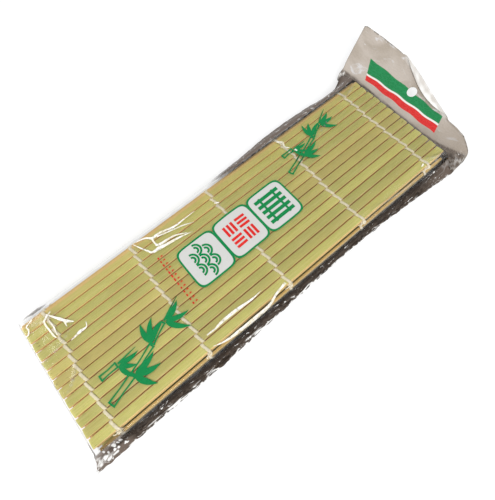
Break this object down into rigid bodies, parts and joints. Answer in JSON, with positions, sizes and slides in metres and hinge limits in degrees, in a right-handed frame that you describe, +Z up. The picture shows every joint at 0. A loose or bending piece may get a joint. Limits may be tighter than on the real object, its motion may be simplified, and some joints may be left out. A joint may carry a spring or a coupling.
{
  "type": "sushi rolling mat",
  "caption": "Bamboo sushi rolling mat of flat slats twined with cotton thread, folded up inside a clear film header bag.",
  "frame": {"origin": "on the underside of the back film, under the middle of the mat's top panel", "axes": "+X along the slats towards the header, +Y across them towards the second fold, +Z up out of the top panel"},
  "size_m": [0.2742, 0.099, 0.0155],
  "materials": {
    "bamboo": "satin",
    "cotton_thread": "matte",
    "clear_film": "gloss",
    "header_film": "gloss"
  },
  "bodies": {
    "lower_third": {"slat_01": "bamboo", "slat_02": "bamboo", "slat_03": "bamboo", "slat_04": "bamboo", "slat_05": "bamboo", "slat_06": "bamboo", "slat_07": "bamboo", "slat_08": "bamboo", "slat_09": "bamboo", "slat_10": "bamboo", "slat_11": "bamboo", "slat_12": "bamboo", "slat_13": "bamboo", "slat_14": "bamboo", "knots_first_edge": "cotton_thread"},
    "first_fold_slat": {"slat_15": "bamboo"},
    "middle_third": {"slat_16": "bamboo", "slat_17": "bamboo", "slat_18": "bamboo", "slat_19": "bamboo", "slat_20": "bamboo", "slat_21": "bamboo", "slat_22": "bamboo", "slat_23": "bamboo", "slat_24": "bamboo", "slat_25": "bamboo", "slat_26": "bamboo", "slat_27": "bamboo", "slat_28": "bamboo"},
    "second_fold_slat": {"slat_29": "bamboo"},
    "upper_third": {"slat_30": "bamboo", "slat_31": "bamboo", "slat_32": "bamboo", "slat_33": "bamboo", "slat_34": "bamboo", "slat_35": "bamboo", "slat_36": "bamboo", "slat_37": "bamboo", "slat_38": "bamboo", "slat_39": "bamboo", "slat_40": "bamboo", "slat_41": "bamboo", "slat_42": "bamboo", "knots_last_edge": "cotton_thread"},
    "bag": {"film_back": "clear_film", "film_front": "clear_film", "header_flap": "header_film"}
  },
  "joints": [
    {"name": "unfold", "type": "hinge", "parent": "lower_third", "child": "first_fold_slat", "pos_m": [0, -0.03578, 0.00275], "axis": [1, 0, 0], "range_deg": [0, 91.55], "deforming": ["film_front"]},
    {"name": "open_first_fold", "type": "hinge", "parent": "first_fold_slat", "child": "middle_third", "pos_m": [0, -0.03563, 0.00821], "axis": [1, 0, 0], "range_deg": [0, 91.55]},
    {"name": "lift_second_fold", "type": "hinge", "parent": "middle_third", "child": "second_fold_slat", "pos_m": [0, 0.03534, 0.00617], "axis": [-1, 0, 0], "range_deg": [0, 91.55]},
    {"name": "open_second_fold", "type": "hinge", "parent": "second_fold_slat", "child": "upper_third", "pos_m": [0, 0.03549, 0.01162], "axis": [-1, 0, 0], "range_deg": [0, 91.55]},
    {"name": "bag_slide", "type": "slide", "parent": "lower_third", "child": "bag", "axis": [1, 0, 0], "range_m": [0, 0.29]}
  ],
  "couplings": [
    {"joint": "open_first_fold", "follows": "unfold", "ratio": 1},
    {"joint": "lift_second_fold", "follows": "unfold", "ratio": 1},
    {"joint": "open_second_fold", "follows": "unfold", "ratio": 1}
  ]
}
